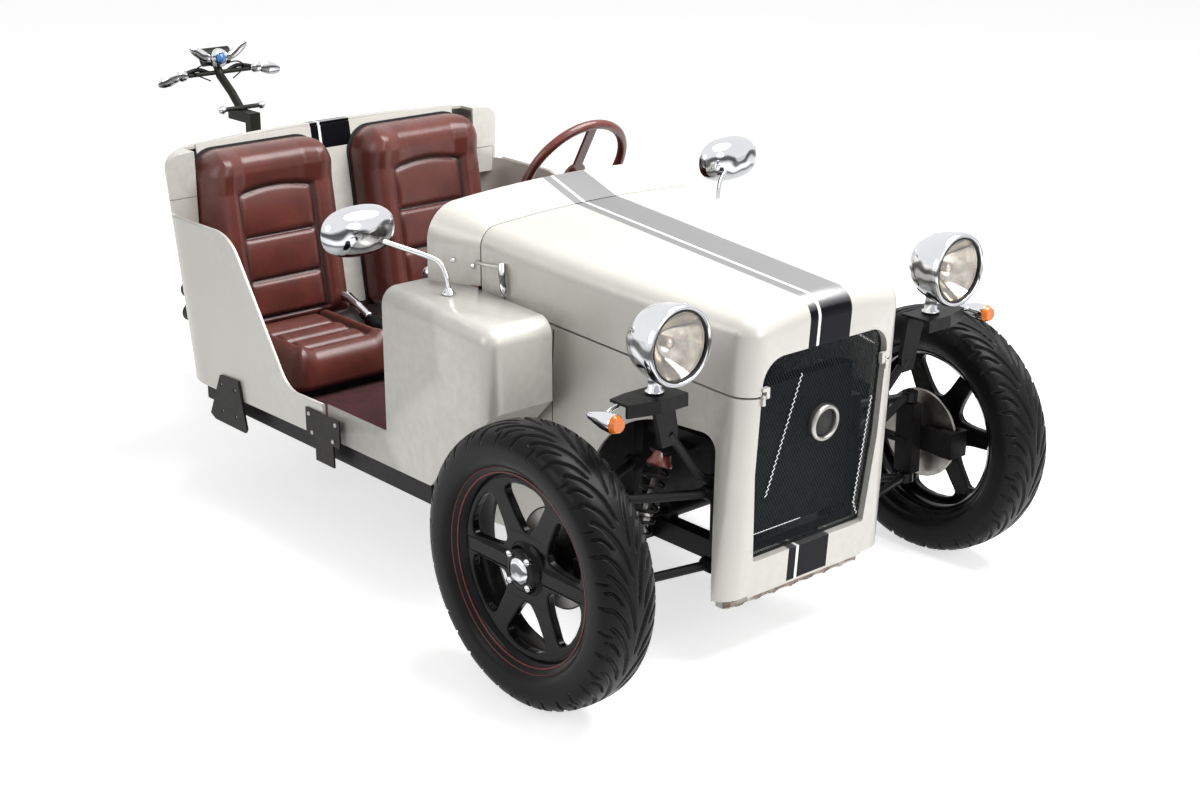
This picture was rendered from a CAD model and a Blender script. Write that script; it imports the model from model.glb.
# %% [markdown]
# # Dressing a three wheeled car
# The frame is a model of a small open car with two wheels ahead and one behind.
# Its panels, frame and wheels already have their sizes. This lesson gives them
# paint, rubber, leather and chrome, and models the forms that a plain solid
# can't hold: the tyres' tread, the padded seats, springs, lamps and wire mesh.

# %% Load the frame
import math
import bpy
import bmesh
import numpy as np
from mathutils import Matrix, Vector


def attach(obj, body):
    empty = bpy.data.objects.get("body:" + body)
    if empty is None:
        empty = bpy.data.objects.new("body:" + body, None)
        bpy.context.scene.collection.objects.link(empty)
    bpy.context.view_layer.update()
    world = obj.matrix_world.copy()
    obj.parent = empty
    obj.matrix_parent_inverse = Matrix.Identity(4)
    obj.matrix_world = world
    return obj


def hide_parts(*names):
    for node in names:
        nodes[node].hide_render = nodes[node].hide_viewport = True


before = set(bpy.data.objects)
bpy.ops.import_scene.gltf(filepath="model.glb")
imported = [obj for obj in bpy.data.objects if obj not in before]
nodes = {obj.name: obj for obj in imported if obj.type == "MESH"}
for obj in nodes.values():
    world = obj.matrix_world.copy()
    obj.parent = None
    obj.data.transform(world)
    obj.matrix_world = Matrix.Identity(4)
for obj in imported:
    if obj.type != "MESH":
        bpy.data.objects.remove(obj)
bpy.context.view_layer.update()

# %% [markdown]
# ## The camera
# The car is seen from its right front corner, from a little above the head of
# a standing person. A wide lens up close would swell the near wheel, so a lens
# of 58 mm is used from further away, and the far wheel keeps its size.

# %% Camera
camera = bpy.data.objects.new("camera", bpy.data.cameras.new("camera"))
bpy.context.collection.objects.link(camera)
camera.location = (-3.0755, -4.0227, 2.0369)
camera.rotation_euler = (math.pi / 2 - 0.3361, 0, -0.7159)
camera.data.lens = 58.302
camera.data.sensor_width = 36
bpy.context.scene.camera = camera
print("camera at", tuple(camera.location))

# %% [markdown]
# ## Building materials from nodes
# A material is a small network of nodes. They can be placed by hand in the
# shader editor, but a material that a script builds can be read line by line.
# The helpers below make one node each and hand back its output, so that a
# network reads like a sum.

# %% New groups and nodes
FLOAT, COLOUR = "NodeSocketFloat", "NodeSocketColor"


def new_group(name, inputs, outputs):
    """An empty shader group, the outputs of its input node and the inputs of its output node."""
    tree = bpy.data.node_groups.new(name, "ShaderNodeTree")
    for label, kind, value in inputs:
        tree.interface.new_socket(label, in_out="INPUT", socket_type=kind).default_value = value
    for label, kind in outputs:
        tree.interface.new_socket(label, in_out="OUTPUT", socket_type=kind)
    return tree, tree.nodes.new("NodeGroupInput").outputs, tree.nodes.new("NodeGroupOutput").inputs


def node(tree, kind, sockets=(), **settings):
    """A node with its settings, and a value or a link for each of the named sockets."""
    made = tree.nodes.new(kind)
    for key, value in settings.items():
        setattr(made, key, value)
    for socket, source in sockets:
        if hasattr(source, "is_output"):
            tree.links.new(source, made.inputs[socket])
        else:
            made.inputs[socket].default_value = source
    return made


print("kinds of socket:", FLOAT, COLOUR)

# %% Sums, ranges, mixes and noise


def maths(tree, operation, *values):
    """The result of one sum on numbers or sockets."""
    return node(tree, "ShaderNodeMath", enumerate(values), operation=operation).outputs[0]


def ranged(tree, value, low, high, top=1.0, foot=0.0):
    """A value stretched so that low gives foot and high gives top."""
    sockets = (("Value", value), ("From Min", low), ("From Max", high), ("To Min", foot), ("To Max", top))
    return node(tree, "ShaderNodeMapRange", sockets).outputs["Result"]


def mixed(tree, share, first, second, **settings):
    """The first colour where share is 0 and the second where it is 1."""
    sockets = ((0, share), (6, first), (7, second))
    return node(tree, "ShaderNodeMix", sockets, data_type="RGBA", **settings).outputs[2]


def noise(tree, scale, detail, rough=0.5):
    """Cloudy values from 0 to 1, fixed to the object."""
    place = node(tree, "ShaderNodeTexCoord").outputs["Object"]
    sockets = (("Vector", place), ("Scale", scale), ("Detail", detail), ("Roughness", rough))
    return node(tree, "ShaderNodeTexNoise", sockets).outputs["Fac"]


def grey(value):
    """A grey of this brightness."""
    return (value, value, value, 1)


print("a middle grey:", grey(0.5))

# %% [markdown]
# ## Patches and uneven gloss
# No finish on a real car is one flat colour: hands, sun and dust leave patches
# of another tone and a gloss that changes. Painting them on an image would
# need an unwrapped mesh for every panel. Noise in the object's own coordinates
# needs none, and a node group lets each finish set its own values.

# %% Patches and uneven gloss
patches, given, out = new_group(
    "patches and gloss",
    [("Colour", COLOUR, grey(0.5)), ("Second colour", COLOUR, grey(0.4)), ("Patch scale", FLOAT, 6),
     ("Amount", FLOAT, 0.5), ("Roughness", FLOAT, 0.4), ("Spread", FLOAT, 0.1), ("Grain scale", FLOAT, 300)],
    [("Colour", COLOUR), ("Roughness", FLOAT), ("Grain", FLOAT)])
cloud = noise(patches, given["Patch scale"], 6.0, 0.6)
spread = ranged(patches, cloud, 0.36, 0.66, given["Amount"])
centred = maths(patches, "SUBTRACT", cloud, 0.5)
for label, source in (
        ("Colour", mixed(patches, spread, given["Colour"], given["Second colour"])),
        ("Roughness", maths(patches, "MULTIPLY_ADD", centred, given["Spread"], given["Roughness"])),
        ("Grain", noise(patches, given["Grain scale"], 3.0))):
    patches.links.new(source, out[label])
print("group:", patches.name)

# %% [markdown]
# ## Wear on edges
# Paint goes first where a hand or a spanner meets a corner. Blender knows how
# pointed a mesh is at each place, and noise breaks that into chips, which a
# line drawn along each edge would not do.

# %% Wear on edges
edges, given, out = new_group(
    "edge wear", [("Colour", COLOUR, grey(0.5)), ("Worn colour", COLOUR, grey(0.6)), ("Amount", FLOAT, 1)],
    [("Colour", COLOUR)])
sharp = ranged(edges, node(edges, "ShaderNodeNewGeometry").outputs["Pointiness"], 0.52, 0.60)
chips = ranged(edges, noise(edges, 45.0, 5.0), 0.40, 0.60)
share = maths(edges, "MULTIPLY", maths(edges, "MULTIPLY", sharp, chips), given["Amount"])
edges.links.new(mixed(edges, share, given["Colour"], given["Worn colour"]), out["Colour"])
print("group:", edges.name)

# %% [markdown]
# ## Finishes from one recipe
# Paint, plastic, rubber and metal differ in colour, gloss, metal and grain, so
# one function builds them all, and each call names a finish of this car. The
# alternative, a material built by hand for each, would repeat the same nodes
# twenty times.

# %% The recipe
finishes = {}


def finish(name, colour, second, scale=6, amount=0.5, rough=0.4, spread=0.15, grain=400, bump=0.05, worn=None,
           wear=0.0, metallic=0.0, coat=0.0, coat_rough=0.08, sheen=0.0, specular=0.5):
    """Keeps a material with two tones, gloss, grain and worn edges; gives its tree, shader and colour."""
    material = bpy.data.materials.new(name)
    material.use_nodes = True
    tree = material.node_tree
    shader = tree.nodes["Principled BSDF"]
    tone = node(tree, "ShaderNodeGroup", (
        ("Colour", (*colour, 1)), ("Second colour", (*second, 1)), ("Patch scale", scale), ("Amount", amount),
        ("Roughness", rough), ("Spread", spread), ("Grain scale", grain)), node_tree=patches).outputs
    surface = tone["Colour"]
    if wear:
        sockets = (("Colour", surface), ("Worn colour", (*worn, 1)), ("Amount", wear))
        surface = node(tree, "ShaderNodeGroup", sockets, node_tree=edges).outputs["Colour"]
    sockets = (("Height", tone["Grain"]), ("Strength", bump), ("Distance", 0.0006))
    relief = node(tree, "ShaderNodeBump", sockets).outputs["Normal"]
    for socket, source in (("Base Color", surface), ("Roughness", tone["Roughness"]), ("Normal", relief)):
        tree.links.new(source, shader.inputs[socket])
    for socket, value in (("Metallic", metallic), ("Coat Weight", coat), ("Coat Roughness", coat_rough),
                          ("Sheen Weight", sheen), ("Specular IOR Level", specular)):
        shader.inputs[socket].default_value = value
    finishes[name] = material
    return tree, shader, surface


print("recipe ready")

# %% [markdown]
# ## Black parts, metals and trim
# Most of the running gear is painted black, from dull plate to glossy wheels.
# Black paint still shows its gloss, so these finishes differ more in
# roughness and in how much they reflect than in colour. The floor is dark red
# carpet, which needs no shine and some sheen at its edges.

# %% Black parts, metals and trim
# values: colour, second colour, patch scale and amount, roughness and its spread, grain scale and bump
finish("satin_black", (0.005, 0.005, 0.006), (0.011, 0.010, 0.010), 14, 0.5, 0.40, 0.2, 500, 0.15,
       (0.04, 0.036, 0.032), 0.12, specular=0.16)
finish("gloss_black", (0.004, 0.004, 0.005), (0.009, 0.009, 0.009), 10, 0.5, 0.16, 0.1, 300, 0.02,
       (0.03, 0.03, 0.03), 0.12, specular=0.13)
finish("plate_black", (0.009, 0.009, 0.006), (0.013, 0.012, 0.009), 12, 0.3, 0.45, 0.06, 260, 0.2,
       (0.05, 0.042, 0.034), 0.15, specular=0.2)
finish("black_plastic", (0.014, 0.014, 0.014), (0.024, 0.023, 0.022), 18, 0.6, 0.55, 0.15, 700, 0.3, specular=0.25)
finish("rubber", (0.011, 0.0105, 0.0105), (0.02, 0.018, 0.017), 9, 0.6, 0.5, 0.2, 600, 0.25, specular=0.3)
finish("radiator_black", (0.004, 0.007, 0.009), (0.002, 0.003, 0.004), 40, 0.8, 0.6, 0.2, 250, 0.5, specular=0.15)
finish("wire_black", (0.009, 0.015, 0.018), (0.004, 0.007, 0.008), 60, 0.7, 0.5, 0.2, 500, 0.1, specular=0.2)
finish("steel", (0.42, 0.41, 0.39), (0.24, 0.21, 0.18), 30, 0.7, 0.32, 0.25, 300, 0.2, metallic=1.0)
finish("bright_steel", (0.72, 0.72, 0.73), (0.5, 0.5, 0.5), 30, 0.5, 0.12, 0.1, 200, 0.02, metallic=1.0)
finish("reflector", (0.66, 0.60, 0.52), (0.20, 0.145, 0.09), 26, 0.9, 0.10, 0.1, 200, 0.02, metallic=1.0)
finish("iron", (0.05, 0.05, 0.05), (0.02, 0.02, 0.02), 16, 0.8, 0.65, 0.2, 220, 0.6, metallic=0.4)
finish("carpet", (0.06, 0.006, 0.010), (0.028, 0.003, 0.005), 30, 0.9, 0.95, 0.05, 900, 1.0, sheen=0.2,
       specular=0.1)
finish("dash_hide", (0.018, 0.017, 0.017), (0.03, 0.028, 0.027), 20, 0.6, 0.5, 0.15, 350, 0.6, specular=0.3)
finish("rim_hide", (0.15, 0.028, 0.018), (0.08, 0.016, 0.011), 18, 0.7, 0.3, 0.15, 500, 0.3, coat=0.3)
finish("red_line", (0.17, 0.012, 0.012), (0.07, 0.006, 0.006), 40, 0.7, 0.4, 0.1, 300, 0.1)
finish("red_cap", (0.2, 0.03, 0.02), (0.09, 0.012, 0.01), 30, 0.7, 0.3, 0.2, 300, 0.1, coat=0.5)
print("finishes:", ", ".join(sorted(finishes)))

# %% [markdown]
# ## Chrome
# In a white studio, polished metal would show nothing but white. Real chrome
# has a dark horizon in it, from the room behind the lamps. Dark cards could
# stand round the car, but they would darken its paint as well. Dark bands on
# the upright faces and on those that look down a little belong to the metal's
# own shape, so they stay put from any side, and a slow ripple bends them.

# %% Helpers for coordinates and colour ramps


def coordinates(tree, kind="Object"):
    """X, Y and Z of a place in the object's own frame, or of its normal there."""
    place = node(tree, "ShaderNodeTexCoord").outputs[kind]
    return node(tree, "ShaderNodeSeparateXYZ", [("Vector", place)]).outputs


def ramp(tree, value, stops, first, last, interpolation="LINEAR"):
    """A colour for each value, by stops between a first and a last colour."""
    band = node(tree, "ShaderNodeValToRGB", [("Fac", value)])
    band.color_ramp.interpolation = interpolation
    for position, colour in stops:
        band.color_ramp.elements.new(position).color = colour
    band.color_ramp.elements[0].color = first
    band.color_ramp.elements[-1].color = last
    return band.outputs["Color"]


print("ramp helper ready")

# %% Chrome
tree, shader, plain = finish("chrome", (0.80, 0.81, 0.83), (0.66, 0.67, 0.70), 12, 0.4, 0.06, 0.06, 200, 0.01,
                             metallic=1.0)
bent = maths(tree, "MULTIPLY_ADD", noise(tree, 14.0, 1.0), 0.9, coordinates(tree, "Normal")["Z"])
HORIZON = ((0.16, 0.10), (0.24, 0.75), (0.40, 0.9), (0.50, 0.12), (0.60, 0.16), (0.68, 1.0))
horizon = ramp(tree, bent, [(place, grey(tone)) for place, tone in HORIZON], grey(0.45), grey(1))
tree.links.new(mixed(tree, 1.0, plain, horizon, blend_type="MULTIPLY"), shader.inputs["Base Color"])
print("chrome has", len(HORIZON) + 2, "stops")

# %% [markdown]
# ## The centre stripes
# Two black films with a thin white line between them run along the middle of
# the car. As their own meshes they would have to hug every curve. As a mask on
# X inside the paint they cross each joint in line. A second mask keeps them
# off the inner faces of the panels, and a third turns the black film grey
# where it faces up, since the sun has dulled it there.

# %% Centre stripes
BLACK_FILM, WHITE_FILM, NO_FILM = (1, 0, 0, 1), (0, 1, 0, 1), (0, 0, 0, 1)
STRIPE_REACH = 0.1
stripes, given, out = new_group("centre stripes", [("Colour", COLOUR, grey(0.7)), ("Lowest", FLOAT, 0)],
                                [("Colour", COLOUR), ("Bare paint", FLOAT), ("Metal", FLOAT)])
place, facing = coordinates(stripes), coordinates(stripes, "Normal")
across = ranged(stripes, place["X"], -STRIPE_REACH, STRIPE_REACH)
films = ramp(stripes, across, ((0.165, BLACK_FILM), (0.290, WHITE_FILM), (0.335, BLACK_FILM), (0.835, NO_FILM)),
             NO_FILM, NO_FILM, "CONSTANT")
film = node(stripes, "ShaderNodeSeparateColor", [("Color", films)]).outputs
outward = maths(stripes, "MAXIMUM", facing["Z"], maths(stripes, "MULTIPLY", facing["Y"], -1))
covered = maths(stripes, "MULTIPLY", maths(stripes, "GREATER_THAN", place["Z"], given["Lowest"]),
                maths(stripes, "GREATER_THAN", outward, 0.1))
black = maths(stripes, "MULTIPLY", film["Red"], covered)
white = maths(stripes, "MULTIPLY", film["Green"], covered)
dulled = mixed(stripes, ranged(stripes, facing["Z"], 0.35, 0.95), (0.006, 0.006, 0.008, 1), (0.36, 0.355, 0.36, 1))
dark = mixed(stripes, black, given["Colour"], dulled)
for label, source in (("Colour", mixed(stripes, white, dark, (0.86, 0.86, 0.84, 1))),
                      ("Bare paint", maths(stripes, "MULTIPLY_ADD", black, -0.5, 0.5)),
                      ("Metal", maths(stripes, "MULTIPLY_ADD", black, 0.75, 0.2))):
    stripes.links.new(source, out[label])
print("group:", stripes.name)

# %% [markdown]
# ## Body paint
# A pale pearl covers the panels: slightly metallic, under a clear coat. The
# stripes cover the nose, the bonnet and the scuttle from end to end, but only
# the top of the rear cowl, so each paint says how low its stripes reach.

# %% Body paint
PALE, PALE_SHADE = (0.60, 0.584, 0.536), (0.525, 0.507, 0.455)
COWL_STRIPE_FOOT = 0.868


def paint(name, lowest=None):
    """Pearl paint; with lowest, the stripes are on it above that height in metres."""
    tree, shader, plain = finish(name, PALE, PALE_SHADE, 2.2, 0.5, 0.36, 0.12, 420, 0.04, (0.74, 0.73, 0.70), 0.25,
                                 metallic=0.2, coat=0.5, coat_rough=0.2)
    if lowest is not None:
        sockets = (("Colour", plain), ("Lowest", lowest))
        striped = node(tree, "ShaderNodeGroup", sockets, node_tree=stripes).outputs
        for socket, source in (("Base Color", "Colour"), ("Coat Weight", "Bare paint"), ("Metallic", "Metal")):
            tree.links.new(striped[source], shader.inputs[socket])


paint("body_paint", 0.0)
paint("cowl_paint", COWL_STRIPE_FOOT)
paint("plain_paint")
print("paints:", [name for name in finishes if "paint" in name])

# %% [markdown]
# ## Glass and lenses
# The headlamps have clear lenses, the indicators amber ones and the mast a
# small blue one. Clear glass lets all light through. A coloured lens that did
# the same would look empty here, with no bulb lit behind it, so only part of
# its light is let through and its own colour shows.

# %% Glass and lenses


def glass(name, colour, transmission, rough=0.02):
    """Clear or tinted glass."""
    second = tuple(0.94 * c for c in colour)
    _, shader, _ = finish(name, colour, second, 30, 0.4, rough, 0.02, 200, 0.02, coat=0.2)
    shader.inputs["Transmission Weight"].default_value = transmission


glass("clear_glass", (0.96, 0.97, 0.98), 1.0)
glass("amber_lens", (0.9, 0.22, 0.01), 0.25, 0.12)
glass("blue_lens", (0.05, 0.22, 0.6), 0.3, 0.1)
print("lenses made")

# %% [markdown]
# ## Leather
# The seats are red-brown hide in two tones, nearly black in the stitched
# channels. A mask drawn by hand would have to follow the channels, so the
# pads store their channels on the mesh as an attribute instead, and the
# material reads it. Fine cells give the hide its grain.

# %% Leather


def darken(tree, shader, plain, attribute, colour):
    """Mixes in a dark colour where the attribute that the mesh stores is 1."""
    stored = node(tree, "ShaderNodeAttribute", attribute_name=attribute).outputs["Fac"]
    tree.links.new(mixed(tree, stored, plain, colour), shader.inputs["Base Color"])


tree, shader, plain = finish("leather", (0.135, 0.031, 0.022), (0.062, 0.013, 0.009), 9, 0.8, 0.30, 0.2, 60, 0.0,
                             sheen=0.05)
darken(tree, shader, plain, "channel", (0.02, 0.006, 0.005, 1))
place = node(tree, "ShaderNodeTexCoord").outputs["Object"]
cells = node(tree, "ShaderNodeTexVoronoi", (("Vector", place), ("Scale", 420.0)), feature="F1").outputs["Distance"]
relief = node(tree, "ShaderNodeBump", (("Height", cells), ("Strength", 0.25), ("Distance", 0.0006)))
tree.links.new(relief.outputs["Normal"], shader.inputs["Normal"])
print("leather made")

# %% [markdown]
# ## Tyre rubber
# New rubber is nearly black with a dull shine. The grooves of the tread are
# real dents in the mesh, and the same attribute trick makes them a shade
# darker, so the pattern reads from far away as well.

# %% Tyre rubber
darken(*finish("tread_rubber", (0.003, 0.0033, 0.0042), (0.008, 0.007, 0.0065), 7, 0.6, 0.34, 0.2, 700, 0.2,
               specular=0.14), "groove", (0.003, 0.003, 0.003, 1))
print("rubber made")

# %% [markdown]
# ## Driving sizes
# A car is drawn from its front axle backwards, so each place here is given by
# its distance behind that axle, in millimetres, and one function turns it into
# Blender's Y in metres. What comes in pairs is made by a loop over the two
# sides, so the left and the right can't drift apart.

# %% Driving sizes
TRACK, WHEELBASE, TYRE_RADIUS = 1316, 2080, 321
SIDES = (("right", -1), ("left", 1))
# columns: name, X and distance behind the front axle, direction of the outer face
WHEELS = (("front_right", -TRACK / 2, 0, -1), ("front_left", TRACK / 2, 0, 1), ("rear", 0, WHEELBASE, -1))


def back(distance):
    """Y in metres of a place this many millimetres behind the front axle."""
    return (distance - WHEELBASE / 2) / 1000


print("axles at Y", back(0), "and", back(WHEELBASE))

# %% [markdown]
# ## Which node gets which finish
# One table says which finish each piece of the frame wears, so a change of
# trim is a change of one word. Nodes that a detailed piece replaces further
# down are in it too, since they still exist.

# %% Finish the nodes
finished_nodes = {
    "body_paint": ("nose_shell", "bonnet", "scuttle_cowl"),
    "cowl_paint": ("rear_cowl",),
    "plain_paint": ("lower_lip", "tub_shell", "foot_boxes"),
    "satin_black": ("grille_mesh", "chassis_frame", "bulkhead", "wishbones", "coil_dampers", "knuckle_right",
                    "knuckle_left", "rack_and_tie_rods", "steering_column", "lamp_brackets", "swing_arm",
                    "rear_dampers", "rear_mudguard"),
    "gloss_black": tuple(f"wheel_{wheel[0]}" for wheel in WHEELS),
    "plate_black": ("side_brackets", "rear_mast"),
    "black_plastic": ("seat_shells", "tail_lamps"),
    "rubber": tuple(f"tyre_{wheel[0]}" for wheel in WHEELS),
    "radiator_black": ("radiator",),
    "iron": ("engine_block",),
    "carpet": ("floor_pan", "centre_console"),
    "dash_hide": ("dashboard",),
    "rim_hide": ("steering_wheel",),
    "leather": ("seat_cushions", "seat_backs"),
    "chrome": ("levers", "lamp_bodies", "mirrors", "mirror_glass", "bonnet_latches"),
    "clear_glass": ("headlamp_lenses",),
    "amber_lens": ("indicator_lenses",),
}
for look, names in finished_nodes.items():
    for name in names:
        nodes[name].data.materials.clear()
        nodes[name].data.materials.append(finishes[look])
print("finished", sum(len(names) for names in finished_nodes.values()), "of", len(nodes), "nodes")

# %% [markdown]
# ## Pieces from points and faces
# Most forms here are turned on a lathe, swept along a path or laid out on a
# grid, much as they are made in a workshop. Pushing points about by hand would
# take longer and be hard to change. Each of those ways has a helper that gives
# points and faces. This one makes a clean mesh of them, gives it its finish,
# ties it to the body it moves with and, where there is a plain node of the
# same part, lets it stand for that node.

# %% Pieces


def piece(name, shape, look, body="root", replaces=None, smooth=True):
    """A finished mesh object from points and faces, riding on a body and standing for a node."""
    mesh = bpy.data.meshes.new(name)
    mesh.from_pydata([tuple(map(float, point)) for point in shape[0]], [], [tuple(face) for face in shape[1]])
    mesh.validate()
    work = bmesh.new()
    work.from_mesh(mesh)
    bmesh.ops.recalc_face_normals(work, faces=work.faces)
    work.to_mesh(mesh)
    work.free()
    made = bpy.data.objects.new(name, mesh)
    bpy.context.collection.objects.link(made)
    mesh.materials.append(finishes[look])
    if smooth:
        mesh.shade_smooth()
    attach(made, body)
    if replaces:
        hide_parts(replaces)
    return made


print("pieces can be made in", len(finishes), "finishes")

# %% [markdown]
# ## Tyres
# A tyre's tread is moulded: curved grooves start by the centre line, run along
# the tyre and sweep out to the shoulder, with the right and left halves
# staggered. An image of a tread would look flat at the edge of the tyre. So
# the tyre is a ring of many small quads, its section is a smooth curve from
# bead to bead, and the points inside a groove are pushed in by its depth.

# %% Curve through points


def rounded(points, steps=8):
    """A path through the given points, rounded between them."""
    points = [Vector(p) for p in points]
    path = []
    for i in range(len(points) - 1):
        a, b = points[max(i - 1, 0)], points[i]
        c, d = points[i + 1], points[min(i + 2, len(points) - 1)]
        for t in (k / steps for k in range(steps)):
            path.append(0.5 * ((2 * b) + (c - a) * t + (2 * a - 5 * b + 4 * c - d) * t * t
                               + (3 * b - a - 3 * c + d) * t ** 3))
    return path + [points[-1]]


def keep_on_points(made, attribute, values):
    """Stores one number for each point of the mesh, for its material to read."""
    layer = made.data.attributes.new(attribute, "FLOAT", "POINT")
    layer.data.foreach_set("value", values.astype(np.float32))


print("a curve through 3 points has", len(rounded([(0, 0, 0), (1, 1, 0), (2, 0, 0)])), "points")

# %% Tread pattern
PITCHES = 17
# columns: start and end across the tyre, shift round it as a share of the pitch, width
GROOVES = ((3, 66, 0.0, 9.5), (18, 86, 0.36, 8.2), (34, 76, 0.68, 6.6), (58, 90, 0.84, 4.6))


def groove_depth(across, around):
    """Depth from 0 to 1 at places on the tread, in millimetres from the centre and round the tyre."""
    pitch = 2 * math.pi * TYRE_RADIUS / PITCHES
    out_by = np.abs(across)
    around = around + np.where(across > 0, 0, pitch / 2)
    sweep, bend = 170, 27
    run = sweep * (1 - np.exp(-out_by / bend)) + 2.6 * np.sin(out_by / 7.0) * np.clip((out_by - 34) / 12, 0, 1)
    slope = sweep / bend * np.exp(-out_by / bend)
    depth = np.zeros_like(out_by)
    for start, end, shift, width in GROOVES:
        off = (around - run - shift * pitch) % pitch
        off = np.minimum(off, pitch - off) / np.sqrt(1 + slope ** 2)
        taper = np.clip((out_by - start) / 7, 0, 1) * np.clip((end - out_by) / 7, 0, 1)
        half = width / 2 * taper ** 0.7
        depth = np.maximum(depth, np.clip((half - off) / 1.5 + 0.5, 0, 1) * (taper > 0))
    return depth


print("pitch of the tread:", round(2 * math.pi * TYRE_RADIUS / PITCHES, 1), "mm")

# %% Tyres
TREAD_STEPS, GROOVE_DEPTH, TREAD_HALF = 920, 6.0, 92
# half a section from the bead to the middle of the tread: half-width and radius
SECTION = ((57, 229), (66, 236), (73, 250), (75, 275), (72.5, 291), (64, 305), (48, 314.5), (30, 318.8),
           (0, TYRE_RADIUS))


def mirrored(values, sign=1):
    """Values up to the middle of the tread, and on to the other bead."""
    return np.concatenate([values, sign * values[-2::-1]])


def tyre(name, x, station):
    """A treaded tyre that rides on its wheel and stands for the plain one."""
    spline = [(p.x, p.y) for p in rounded([(width, radius, 0) for width, radius in SECTION])]
    length = np.concatenate([[0], np.cumsum([math.dist(a, b) for a, b in zip(spline, spline[1:])])])
    full = length[-1]
    even = np.concatenate([np.linspace(0, full * 0.45, 12), np.linspace(full * 0.47, full, 36)])
    widths = mirrored(np.interp(even, length, [width for width, _ in spline]), -1)
    radii = mirrored(np.interp(even, length, [radius for _, radius in spline]))
    rows = len(widths)
    turn = np.linspace(0, 2 * math.pi, TREAD_STEPS, endpoint=False)
    across, angle = np.meshgrid(mirrored(full - even, -1), turn)
    depth = groove_depth(across, angle * TYRE_RADIUS)
    radius = radii - GROOVE_DEPTH * depth * (np.abs(across) < TREAD_HALF)
    points = np.stack([x + widths * (1 - 0.03 * depth), station - WHEELBASE / 2 - radius * np.cos(angle),
                       TYRE_RADIUS + radius * np.sin(angle)], -1) / 1000
    here = np.arange(TREAD_STEPS)[:, None] * rows + np.arange(rows - 1)
    after = np.roll(here, -1, axis=0)
    faces = np.stack([here, here + 1, after + 1, after], -1)
    made = piece(f"treaded_{name}", (points.reshape(-1, 3), faces.reshape(-1, 4)), "tread_rubber",
                 f"wheel_{name}", f"tyre_{name}")
    keep_on_points(made, "groove", depth.ravel())
    print(made.name, len(made.data.polygons), "quads")


for name, x, station, _ in WHEELS:
    tyre(name, x, station)

# %% [markdown]
# ## Spokes
# The cast spokes widen where they meet the hub and the rim, which leaves six
# rounded windows. Cutting the windows out of a disc with booleans would leave
# ragged edges. A flat curve with holes, given a thickness and a bevel, makes
# exactly that shape, and it is then dished a little, as the casting is.

# %% Spokes
RIM_RADIUS, SPOKES = 0.2105, 6


def squarer(wave):
    """A sine or cosine that stays longer near its ends."""
    return np.sign(wave) * abs(wave) ** 0.62


def spoke_face():
    """Points and faces of the flat cast face with its windows, in metres from the hub."""
    rings = [[(RIM_RADIUS * math.cos(t), RIM_RADIUS * math.sin(t))
              for t in np.linspace(0, 2 * math.pi, 96, endpoint=False)]]
    for middle in (math.radians(30 + 360 / SPOKES * spoke) for spoke in range(SPOKES)):
        window = []
        for t in np.linspace(0, 2 * math.pi, 40, endpoint=False):
            reach = 0.1375 + 0.058 * squarer(math.cos(t))
            width = 0.505 * (reach / 0.195) ** 0.25
            swing = width * squarer(math.sin(t)) * (0.80 + 0.20 * math.cos(t))
            window.append((reach * math.cos(middle + swing), reach * math.sin(middle + swing)))
        rings.append(window)
    outline = bpy.data.curves.new("spokes", "CURVE")
    outline.dimensions, outline.fill_mode = "2D", "BOTH"
    outline.extrude, outline.bevel_depth, outline.bevel_resolution = 0.006, 0.004, 2
    for ring in rings:
        spline = outline.splines.new("POLY")
        spline.points.add(len(ring) - 1)
        for point, (u, v) in zip(spline.points, ring):
            point.co = (u, v, 0, 1)
        spline.use_cyclic_u = True
    holder = bpy.data.objects.new("spokes", outline)
    bpy.context.collection.objects.link(holder)
    flat = bpy.data.meshes.new_from_object(holder.evaluated_get(bpy.context.evaluated_depsgraph_get()))
    bpy.data.objects.remove(holder)
    return [tuple(vertex.co) for vertex in flat.vertices], [tuple(p.vertices) for p in flat.polygons]


cast_points, cast_faces = spoke_face()
print("spoke face:", len(cast_points), "points")

# %% [markdown]
# ## Wheels
# Behind the spokes sits a rolled barrel with a lip at either side, and on them
# a hub, a brake disc, a bright cap with four nuts and two thin red lines. All
# of these but the spokes are round, so each is a short profile turned about
# the axle. They ride on the wheel, so they spin and steer with it.

# %% The lathe


def square_to(axis):
    """The axis at length 1, and two directions square to it and to each other."""
    axis = Vector(axis).normalized()
    side = axis.orthogonal().normalized()
    return axis, side, axis.cross(side)


def neighbours(count, closed):
    """Each place in a row with the one after it, and the last with the first if it is closed."""
    return [(i, (i + 1) % count) for i in range(count if closed else count - 1)]


def skin(rings, count, rings_closed, row_closed):
    """Quads between rows that have the same count of points."""
    return [(i * count + k, i * count + m, j * count + m, j * count + k)
            for i, j in neighbours(rings, rings_closed) for k, m in neighbours(count, row_closed)]


def turned(profile, centre, axis, steps=96, closed=False):
    """A profile of (along, radius) pairs turned about an axis; closed joins its end to its start."""
    axis, side, up = square_to(axis)
    points = []
    for turn in (2 * math.pi * i / steps for i in range(steps)):
        spoke = side * math.cos(turn) + up * math.sin(turn)
        points += [Vector(centre) + axis * along + spoke * radius for along, radius in profile]
    return points, skin(steps, len(profile), True, closed)


def join(*shapes):
    """Several shapes as one."""
    points, faces = [], []
    for more_points, more_faces in shapes:
        start = len(points)
        points += list(more_points)
        faces += [tuple(start + i for i in face) for face in more_faces]
    return points, faces


print("a turned ring of 96 steps has", len(turned([(0, 1), (1, 1)], (0, 0, 0), (1, 0, 0))[1]), "quads")

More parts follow.
